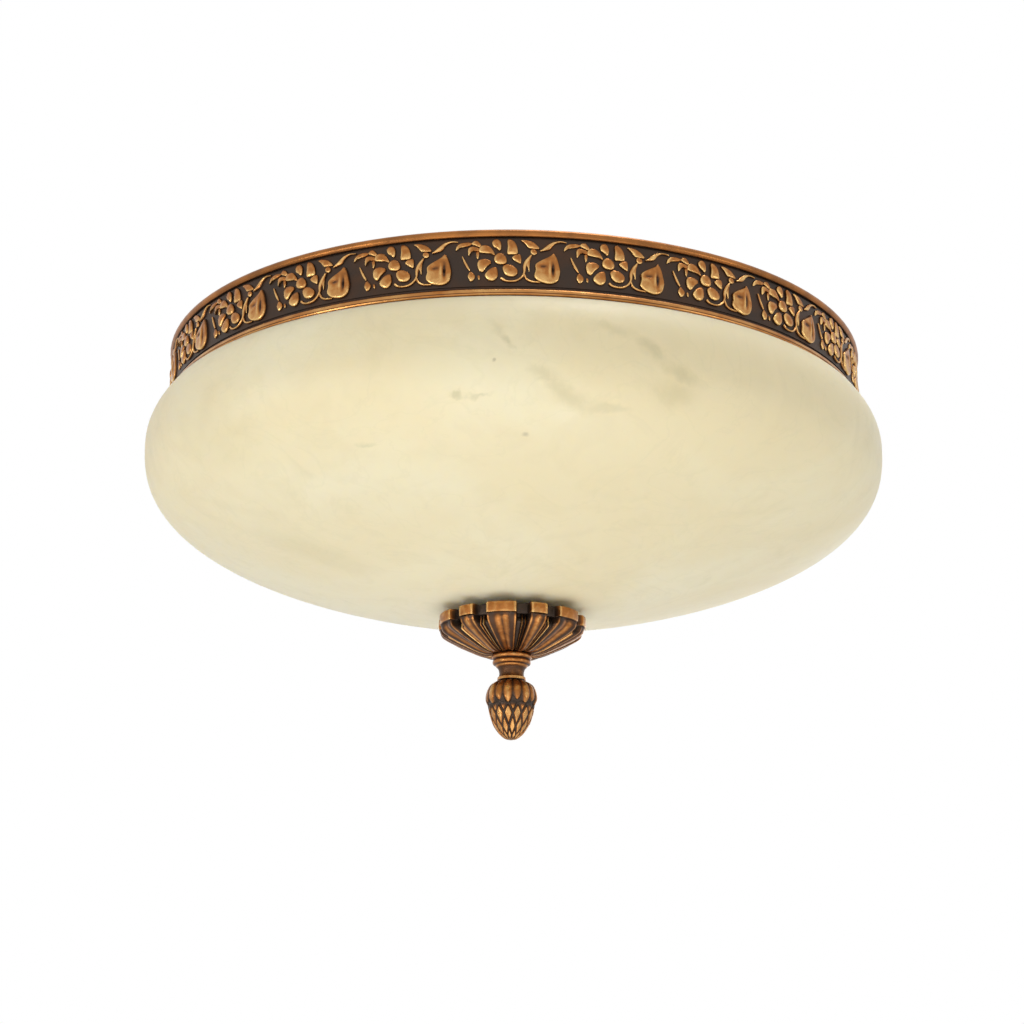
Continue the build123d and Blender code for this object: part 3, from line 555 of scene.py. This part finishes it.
def vine(height, path, count=20):
    """A half-round stem. Each point of its path has a half width."""
    line = smooth_path(path, count)
    points, wear_and_painted_light, faces = [], [], []
    # Each point of its section is a share of its half width and of its height.
    lap = [(-1.0, -0.4), (-1.0, 0.3), (-0.7, 0.78), (0, 1.0), (0.7, 0.78), (1.0, 0.3), (1.0, -0.4)]
    shine = [0.0, 0.3, 0.74, 0.92, 0.74, 0.3, 0.0]
    for i, (across, up, half) in enumerate(line):
        ahead = line[min(i + 1, count - 1)][:2] - line[max(i - 1, 0)][:2]
        side = np.array([-ahead[1], ahead[0]]) / max(np.linalg.norm(ahead), 1e-9)
        for (share, rise), glow in zip(lap, shine):
            low = height * rise * (min(1, half / 0.5) if rise > 0 else 1)
            points.append((across + side[0] * half * share, up + side[1] * half * share, low))
            wear_and_painted_light.append(glow)
    width = len(lap)
    for i in range(count - 1):
        for k in range(width):
            a, b = i * width + k, i * width + (k + 1) % width
            faces.append((b, a, a + width, b + width))
    faces.append(tuple(range(width)))
    faces.append(tuple(reversed(range((count - 1) * width, count * width))))
    put(points, faces, wear_and_painted_light)


# The flower: its boss and six petals.
boss = [
    (-3.1, 2.6), (-1.7, 4.5), (0.7, 4.7), (2.5, 2.8), (3, 0.5), (1.8, -1), (-1.3, -0.9),
    (-3, 0.5),
]
pillow(1.9, boss)
top_petal = [
    (-4.4, 11.2), (-3.1, 12.8), (-1.1, 12.6), (0, 10.8), (0, 8.1), (-0.8, 6.9), (-2, 7.9),
    (-3.7, 9.1),
]
pillow(1.6, top_petal)
upper_right_petal = [
    (3.7, 12.4), (5.7, 12.6), (7.7, 10.8), (8.7, 7.7), (8.6, 5), (5.9, 4.8), (3.7, 5), (3.8, 8.7),
]
pillow(1.6, upper_right_petal)
right_petal = [
    (6.2, 2.5), (7.9, 3.9), (10.1, 4.2), (10.7, 2.6), (10.5, -0.4), (9.2, -0.1), (7.6, 0.9),
]
pillow(1.4, right_petal)
lower_right_petal = [
    (1.3, -3.1), (3.1, -1.6), (5.9, -2.1), (8.4, -4.1), (8.6, -6.5), (6.8, -8), (3.7, -7.7),
    (1.9, -5.8),
]
pillow(1.6, lower_right_petal)
lower_left_petal = [
    (-8.1, -7.7), (-6.9, -5.4), (-4.8, -3.6), (-2.5, -3.2), (-1.7, -5.7), (-1.9, -8.5),
    (-3.9, -10.4), (-6.4, -9.8),
]
pillow(1.7, lower_left_petal)
left_petal = [
    (-12.1, -1), (-11.2, 1.1), (-8.3, 1.7), (-5.7, 0.7), (-5.5, -0.8), (-7.6, -2.8), (-9.5, -5.2),
    (-11.4, -4.1),
]
pillow(1.6, left_petal)
# Leaves at its upper left.
far_leaf = [
    (-23.7, 7.4), (-23.3, 9.6), (-21.2, 11.3), (-17.8, 11.7), (-15.2, 11), (-17.3, 9.7),
    (-20.4, 9.1), (-22.4, 8.6),
]
pillow(1.2, far_leaf)
tip_leaf = [
    (-15.2, 10.8), (-14.2, 12.3), (-12.3, 12.2), (-10.6, 9.9), (-11.4, 9), (-13.3, 9.7),
]
pillow(1.3, tip_leaf)
hooked_leaf = [
    (-17.2, 6.2), (-16.8, 8.4), (-14.6, 9), (-11.7, 7.9), (-11.9, 6.4), (-14.5, 6.6),
    (-16.2, 5.7), (-16.8, 4.3),
]
pillow(1.4, hooked_leaf)
near_leaf = [
    (-11.4, 7.2), (-10.1, 9.4), (-6.6, 9.3), (-4.2, 6.4), (-3.3, 4.1), (-5.7, 5), (-8.8, 5.4),
    (-10.9, 5.9),
]
pillow(1.5, near_leaf)
leaf_stub = [
    (-13, 5.8), (-11.7, 6.1), (-11.5, 4), (-12.2, 2.1), (-12.8, 3.4),
]
pillow(1.1, leaf_stub, count=20)
# Small stem at the left, with its bud and seed.
bud_stem = [
    (-20.4, 3.6, 0.43), (-19.1, 0.5, 0.71), (-17.6, -2.4, 0.76), (-16.3, -4.6, 0.47),
]
vine(1, bud_stem)
bud = [
    (-17.2, -7.8), (-16.2, -5.4), (-14.9, -6), (-13.7, -7.7), (-14.3, -9.6), (-15.8, -10.4),
    (-16.6, -9.3),
]
pillow(1.2, bud)
seed = [
    (-12.1, -7.7), (-11.3, -7.5), (-10.9, -8.7), (-11.3, -9.8), (-11.9, -9.1),
]
pillow(0.9, seed, count=20)
# Leaf, berry and thorn at its upper right.
broad_leaf = [
    (11, 12.5), (14.7, 12.4), (17.8, 11), (20.2, 8.2), (18.1, 7.9), (16.4, 8.1), (14.8, 8.4),
    (13, 10.6),
]
pillow(1.4, broad_leaf)
berry = [
    (15.9, 6.7), (17.1, 7.4), (18.7, 6.8), (19, 5.3), (17.7, 4.4), (16.3, 5.1),
]
pillow(1.3, berry, count=20)
thorn = [
    (16.7, 4.3), (15.8, 2.6), (15.4, -0.5), (15.1, -4.6), (14.3, -2.6), (13.6, -0.6), (14.7, 2.4),
]
pillow(1, thorn)
# The scroll under them, from the berry round below the flower.
scroll = [
    (16, 4, 0.57), (13.8, 0.5, 1.14), (12.6, -2.6, 1.04), (12.5, -5.7, 0.76), (11.3, -8.3, 0.71),
    (8.6, -10.4, 0.71), (5.3, -11, 0.62), (2.2, -10.5, 0.71), (0.4, -9.1, 0.85),
]
vine(1.3, scroll, count=34)
scroll_end = [
    (12.5, -6.9, 0.57), (13.8, -9.5, 0.71), (16.1, -10.8, 0.67), (18.8, -11.2, 0.62),
    (20.8, -11.4, 0.43),
]
vine(1.2, scroll_end)
# The pear, with a slit, a ridge beside it and a dimple, and the stem that carries it.
pear = [
    (28, 5.1), (29.7, 2.2), (30.7, -1.5), (31.3, -5.7), (30, -10), (26.6, -11.8), (22.6, -11.3),
    (19.4, -9.8), (17.9, -7.6), (18.6, -4.6), (18.4, -1.6), (20.8, 0.5), (24, 2.3), (26.5, 3.8),
]
hollows = [
    ((27.7, -4.4), (0.7, 3.4), 1.3),
    ((25.9, -4.2), (0.7, 3.6), -0.5),
    ((22.3, -2.4), (2.2, 1.2), 0.7),
]
pillow(2, pear, count=48, rings=10, hollows=hollows)
pear_stem = [
    (20.9, 6.6, 0.38), (23, 7.6, 0.95), (25.2, 8.9, 1.61), (27.2, 10.8, 1.14), (29.7, 12.1, 0.67),
    (32.3, 12.4, 0.47), (34.8, 12.1, 0.38),
]
vine(1.4, pear_stem)

bent = []
for across, up, out in relief["points"]:
    turn = across * MM / GROUND
    radius = GROUND + out * MM
    bent.append((radius * math.sin(turn), -radius * math.cos(turn), FRIEZE_MIDDLE + up * MM))


def repeat_round(tree_name):
    """Geometry nodes that set copies of a mesh round Z, and join them with one finish."""
    group = bpy.data.node_groups.new(tree_name, "GeometryNodeTree")
    face = group.interface
    face.new_socket("Geometry", in_out="OUTPUT", socket_type="NodeSocketGeometry")
    face.new_socket("Geometry", in_out="INPUT", socket_type="NodeSocketGeometry")
    face.new_socket("Copies", in_out="INPUT", socket_type="NodeSocketInt")
    face.new_socket("First turn", in_out="INPUT", socket_type="NodeSocketFloat")
    face.new_socket("Finish", in_out="INPUT", socket_type="NodeSocketMaterial")
    given = add(group, "NodeGroupInput")
    copies = given.outputs["Copies"]
    places = add(group, "GeometryNodeMeshLine", Count=copies, Offset=(0, 0, 0))
    number = add(group, "GeometryNodeInputIndex")
    turn = add(
        group,
        "ShaderNodeMath",
        {"operation": "MULTIPLY_ADD"},
        i0=number.outputs[0],
        i1=sum_of(group, "DIVIDE", 2 * math.pi, copies),
        i2=given.outputs["First turn"],
    )
    angles = add(group, "ShaderNodeCombineXYZ", Z=turn.outputs[0])
    rotation = add(group, "FunctionNodeEulerToRotation", Euler=angles.outputs[0])
    placed = add(
        group,
        "GeometryNodeInstanceOnPoints",
        Points=places.outputs[0],
        Instance=given.outputs["Geometry"],
        Rotation=rotation.outputs[0],
    )
    solid = add(group, "GeometryNodeRealizeInstances", Geometry=placed.outputs[0])
    rubbed = add(
        group,
        "GeometryNodeSetMaterial",
        Geometry=solid.outputs[0],
        Material=given.outputs["Finish"],
    )
    add(group, "NodeGroupOutput", Geometry=rubbed.outputs[0])
    return group


def plain_copy(name, source, settings):
    """The mesh that a piece's geometry nodes make, as an object of its own."""
    group = repeat_round(name + " nodes")
    modifier = source.modifiers.new("repeat", "NODES")
    modifier.node_group = group
    for item in group.interface.items_tree:
        if item.in_out == "INPUT" and item.name in settings:
            modifier[item.identifier] = settings[item.name]
    shown = source.evaluated_get(bpy.context.evaluated_depsgraph_get())
    mesh = bpy.data.meshes.new_from_object(shown)
    mesh.name = name
    source.modifiers.remove(modifier)
    bpy.data.objects.remove(source)
    made = bpy.data.objects.new(name, mesh)
    scene.collection.objects.link(made)
    return made


frieze = plain_copy(
    "frieze_relief",
    piece_of("motif", bent, relief["faces"], 50, relief["wear_and_painted_light"]),
    {"Copies": REPEATS, "First turn": FIRST_TURN, "Finish": brass},
)
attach(frieze, "fixture")

# ---------------------------------------------------------------- fluted cup
# Wide and narrow lobes by turns, with notches between. A broad flute runs down under each wide
# one, a round rib under each narrow one, and a thin double ridge down every notch.
ROD_BORE = 0.0053
CUP_TOP = -0.159967
CUP_FOOT = -0.1822
CUP_RADIUS = 0.04425
RIM_FOOT = CUP_TOP - 0.0063
HUB_TOP = -0.161067
HUB_RADIUS = 0.014
FIRST_LOBE = -98.5  # degrees round to the wide lobe nearest the front
WIDE_PITCH = 60  # degrees from one wide lobe to the next
NOTCH_MIDDLE = 17.4  # degrees from the middle of a wide lobe
FLUTE_DEPTH = 0.0017
GROOVE_DEPTH = 0.0026
RIDGE_HEIGHT = 0.0021
RIB_HEIGHT = 0.0007
CUP_CONTRAST = 1.25


def ease(value, low, high):
    """0 below one value, 1 above another, and smooth between them."""
    share = np.clip((value - low) / (high - low), 0, 1)
    return share * share * (3 - 2 * share)


def ridge(value, middle, half):
    """1 on a thin line and 0 away from it."""
    return np.exp(-(((value - middle) / half) ** 2))


def from_first_lobe(columns):
    """Degrees from the first wide lobe to each point of a ring."""
    return np.degrees(np.arange(columns) * (2 * math.pi / columns)) - FIRST_LOBE


turn = from_first_lobe(576)
half_pitch = WIDE_PITCH / 2
lobe = np.abs((turn + half_pitch) % WIDE_PITCH - half_pitch)  # from the nearest wide lobe's middle
narrow = half_pitch - lobe  # from the nearest narrow lobe's middle
notch = np.abs(lobe - NOTCH_MIDDLE)  # from the nearest notch's middle
recess = 1 - ease(notch, 4.4, 6.0)
swell = 0.0007 * (1 - (lobe / 11.8) ** 2).clip(0) + 0.0005 * (1 - (narrow / 6.6) ** 2).clip(0)
rim = CUP_RADIUS + swell - 0.0046 * recess
corner = ridge(lobe, 10.9, 0.8) + ridge(lobe, 24.4, 0.8)
face = 0.62 - 0.54 * recess + 0.17 * corner
hollow = smooth_path([(HUB_RADIUS, -0.1741), (0.0296, -0.1688), (0.0364, CUP_TOP)], 10)
cup_rings = [
    (ROD_BORE, CUP_FOOT, 0.3),
    (ROD_BORE, HUB_TOP, 0.3),
    (HUB_RADIUS - 0.0002, HUB_TOP, 0.35),
    (HUB_RADIUS, HUB_TOP - 0.0003, 0.35),
    *((radius, level, 0.2) for radius, level in hollow),
    (0.0385, CUP_TOP, 0.4),
    (rim - 0.0006, CUP_TOP, face),
    (rim - 0.0001, CUP_TOP - 0.0005, face + 0.07),
    *((rim, CUP_TOP + (RIM_FOOT - CUP_TOP) * share, face) for share in (0.2, 0.5, 0.8)),
    (rim - 0.0002, RIM_FOOT, face + 0.08),
    # The step under the rim is dark: painted shade under the lobes' overhang.
    (rim - 0.0013, RIM_FOOT - 0.0002, 0.15),
]

flute = 1 - ease(lobe, 0.0, 9.6)
groove = 1 - ease(notch, 4.2, 5.8)
ridges = ridge(notch, 0.0, 0.9) + 0.9 * ridge(lobe, 20.6, 0.7)
rib = 1 - ease(narrow, 0.0, 6.0)
carved = FLUTE_DEPTH * flute + GROOVE_DEPTH * groove - RIDGE_HEIGHT * ridges - RIB_HEIGHT * rib
# The brighter band along the middle of each flute is a painted highlight.
shine = 0.26 + 0.38 * (1 - ease(np.abs(lobe - 3.0), 0.0, 5.0))
shine = shine + 0.48 * (ridge(lobe, 11.0, 0.9) + ridge(lobe, 24.2, 0.8))
shine = shine - 0.26 * (1 - ease(notch, 4.4, 5.6)) + 0.95 * ridge(notch, 0.0, 0.8)
shine = shine + 0.80 * ridge(lobe, 20.6, 0.6) + 0.42 * (1 - ease(narrow, 0.0, 5.0))
under = smooth_path(
    [
        (0.0434, RIM_FOOT - 0.0006),
        (0.0420, RIM_FOOT - 0.0040),
        (0.0372, -0.1735),
        (0.0300, -0.1771),
        (0.0215, -0.1810),
        (0.0160, -0.1826),
        (0.0120, CUP_FOOT),
    ],
    44,
)
slope = np.gradient(under, axis=0)
slope /= np.linalg.norm(slope, axis=1)[:, None]
for i, ((radius, level), (along_r, along_z)) in enumerate(zip(under, slope)):
    run = i / (len(under) - 1)  # 0 at the rim, 1 at the foot
    depth = carved * (1 - 0.62 * run)
    inner = np.minimum(rim - 0.0010, radius)
    # The underside is darker just under the rim: painted shade under the lobes' overhang.
    shown = shine * (0.55 + 0.45 * ease(run, 0.0, 0.12))
    cup_rings.append((inner + along_z * depth, level - along_r * depth, shown))
cup_rings = [
    (radius, level, np.clip(0.5 + CUP_CONTRAST * (shown - 0.5), 0, 1))
    for radius, level, shown in cup_rings
]
cup = turned("fluted_cup", cup_rings, 576, 35)
cup.data.materials.append(brass)
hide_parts("finial_cup")
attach(cup, "cup_body")

# ---------------------------------------------------------------- neck
# Turned bead, ring and cove between the cup and the acorn, bored for the rod. What stands out of
# the line around it is rubbed bright.
NECK_FOOT = -0.197967
neck_side = smooth_path(
    [
        (0.0113, -0.1824),
        (0.0119, -0.1834),
        (0.0118, -0.1846),
        (0.0110, -0.1854),
        (0.0106, -0.1857),
        (0.0111, -0.1860),
        (0.0115, -0.1869),
        (0.0113, -0.1880),
        (0.0105, -0.1886),
        (0.0099, -0.1889),
        (0.0095, -0.1896),
        (0.0083, -0.1908),
        (0.0076, -0.1924),
        (0.0074, -0.1940),
        (0.0076, -0.1954),
        (0.0080, -0.1961),
    ],
    60,
)
radii = neck_side[:, 0]
around_it = np.convolve(np.pad(radii, 4, mode="edge"), np.ones(9) / 9, "valid")
stands = np.clip(0.46 + (radii - around_it) * 1300, 0.1, 0.9)
neck_rings = [
    (ROD_BORE, NECK_FOOT, 0.3),
    (ROD_BORE, CUP_FOOT, 0.3),
    (0.0100, CUP_FOOT, 0.3),
    *((radius, level, shown) for (radius, level), shown in zip(neck_side, stands)),
    (0.0085, -0.1965, 0.74),
    (0.0086, NECK_FOOT, 0.74),
]
neck = turned("turned_neck", neck_rings, 128, 35)
neck.data.materials.append(brass)
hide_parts("finial_neck")
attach(neck, "cup_body")

# ---------------------------------------------------------------- acorn
# Two rows of rounded leaves lap over the shoulder, and a lattice of long pads covers the nut. It is
# cast in one, tapped from above and screwed on the rod.
ACORN_TOP = -0.198267
TAPPED = 0.0163  # depth of the thread
CUPULE = 0.0155
NUT = 0.0206
NUT_TOP = ACORN_TOP - CUPULE
LEAVES = 8
STRANDS = 14  # of the lattice, each way round
LEAN = 2.1  # strands that one strand crosses on its way down
turn = from_first_lobe(256)


def leaf_height(shift, run, width):
    """Height share of a row of leaves that end in points."""
    pitch = 360 / LEAVES
    apart = np.abs((turn + shift + pitch / 2) % pitch - pitch / 2)
    if run < 0.5:
        half = width * (0.72 + 0.28 * math.sin(math.pi * run))
    else:
        half = width * math.sqrt(max(1 - ((run - 0.5) / 0.5) ** 2.6, 0.0))
    if half < 0.3:
        return 0 * apart
    return np.sqrt(np.clip(1 - (apart / half) ** 2, 0, 1))


shell = smooth_path(
    [
        (0.0079, ACORN_TOP),
        (0.01292, ACORN_TOP - 0.23 * CUPULE),
        (0.0150, ACORN_TOP - 0.6 * CUPULE),
        (0.0146, NUT_TOP),
    ],
    64,
)
nut = smooth_path(
    [
        (0.0134, NUT_TOP),
        (0.0124, NUT_TOP - 0.25 * NUT),
        (0.01005, NUT_TOP - 0.57 * NUT),
        (0.0066, NUT_TOP - 0.81 * NUT),
        (0.0036, NUT_TOP - 0.945 * NUT),
        (0.0004, NUT_TOP - 0.995 * NUT),
    ],
    84,
)
acorn_rings = [(ROD_BORE, ACORN_TOP - TAPPED, 0.3), (ROD_BORE, ACORN_TOP, 0.3)]
for i, (radius, level) in enumerate(shell):
    run = i / (len(shell) - 1)  # 0 at the top, 1 at the cupule's edge
    front = leaf_height(0, run, 12.6)
    back = leaf_height(180 / LEAVES, min(run * 1.10, 1.0), 12.2)
    rise = np.maximum(0.0012 * front, 0.0009 * back)
    base = radius - 0.0007 - 0.0009 * ease(run, 0.80, 1.0)
    shown = 0.05 + np.maximum(0.72 * front**1.5, 0.62 * back**1.5)
    acorn_rings.append((base + rise * ease(run, 0.0, 0.12), level, shown))
for i, (radius, level) in enumerate(nut):
    run = i / (len(nut) - 1)  # 0 under the cupule, 1 at the tip
    strand = turn * STRANDS / 360
    one = np.abs((strand + LEAN * run) % 1 - 0.5)
    two = np.abs((strand - LEAN * run) % 1 - 0.5)
    pad = ease(0.5 - np.maximum(one, two), 0.03, 0.22)
    rise = 0.0009 * pad * (1 - ease(run, 0.86, 0.98))
    # The top of the nut is darkened: painted shade under the cupule's edge.
    shown = (0.05 + 0.72 * pad) * ease(run, -0.02, 0.14)
    acorn_rings.append((radius - 0.0003 + rise * min(1, radius / 0.006), level, shown))
acorn_rings.append((0.0002, NUT_TOP - NUT + 0.0001, 0.6))
acorn = turned("leafed_acorn", acorn_rings, 256, 50)
acorn.data.materials.append(brass)
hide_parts("acorn")
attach(acorn, "acorn_body")

# ---------------------------------------------------------------- fittings inside
# Everything over and in the bowl keeps its CAD shape and gets its own finish: plated steel,
# enamelled sheet, porcelain holders, brass contacts, rubber, felt, and bulbs of opal glass.


def dressed(made, *names):
    """Gives a finish to CAD nodes."""
    for name in names:
        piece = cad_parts[name]
        piece.data.materials.clear()
        piece.data.materials.append(made)


def plain(name, dark, light, rough, scale, depth, **surface):
    """A finish of two near colours, with its range of roughness and its slight relief."""
    made, tree, shader, where = finish(name, **surface)
    patches = noise(tree, where, scale, 3.0)
    fine = noise(tree, where, scale * 7, 2.0)
    tree.links.new(blend(tree, span(tree, patches, 0.3, 0.7), dark, light), shader.inputs[0])
    uneven = span(tree, fine, 0.3, 0.7, rough[0], rough[1])
    tree.links.new(uneven, shader.inputs["Roughness"])
    dents(tree, shader, fine, depth)
    return made


metal = {"Metallic": 1.0}
zinc = plain(
    "zinc plate", paint(168, 170, 172), paint(198, 200, 203), (0.28, 0.42), 60, 4e-5, **metal
)
enamel = plain("white enamel", paint(232, 231, 225), paint(240, 239, 234), (0.3, 0.36), 24, 3e-6)
china = plain("porcelain", paint(236, 233, 224), paint(246, 244, 238), (0.08, 0.16), 40, 2e-5)
bare = plain(
    "bare brass", paint(188, 150, 78), paint(218, 182, 104), (0.22, 0.38), 80, 3e-5, **metal
)
green = plain("green lacquer", paint(26, 112, 52), paint(36, 136, 66), (0.3, 0.42), 200, 3e-5)
rubber = plain("black rubber", paint(26, 26, 27), paint(38, 38, 39), (0.55, 0.7), 160, 5e-5)
felt = plain("felt", paint(150, 138, 118), paint(178, 166, 144), (0.9, 1.0), 500, 2e-4)
alloy = plain(
    "cap metal", paint(188, 189, 190), paint(212, 213, 214), (0.2, 0.34), 90, 4e-5, **metal
)
opal = plain("opal glass", paint(240, 240, 236), paint(250, 250, 247), (0.1, 0.16), 30, 1e-5)
dressed(zinc, "crossbar", "centre_rod", "rod_nuts", "pan_screws", "pan_washer", "block_screw")
dressed(zinc, "lamp_bracket", "bracket_washer", "holder_screws")
dressed(green, "ground_screw")
dressed(enamel, "back_pan")
dressed(china, "terminal_block", "lampholder_1", "lampholder_2", "lampholder_3")
dressed(bare, "terminal_screws")
dressed(rubber, "lead_grommet")
dressed(felt, "rim_gasket", "seat_washer")
for number in "123":
    dressed(bare, "socket_shell_" + number, "contact_" + number, "bulb_tip_" + number)
    dressed(alloy, "bulb_cap_" + number)
    dressed(opal, "bulb_glass_" + number)
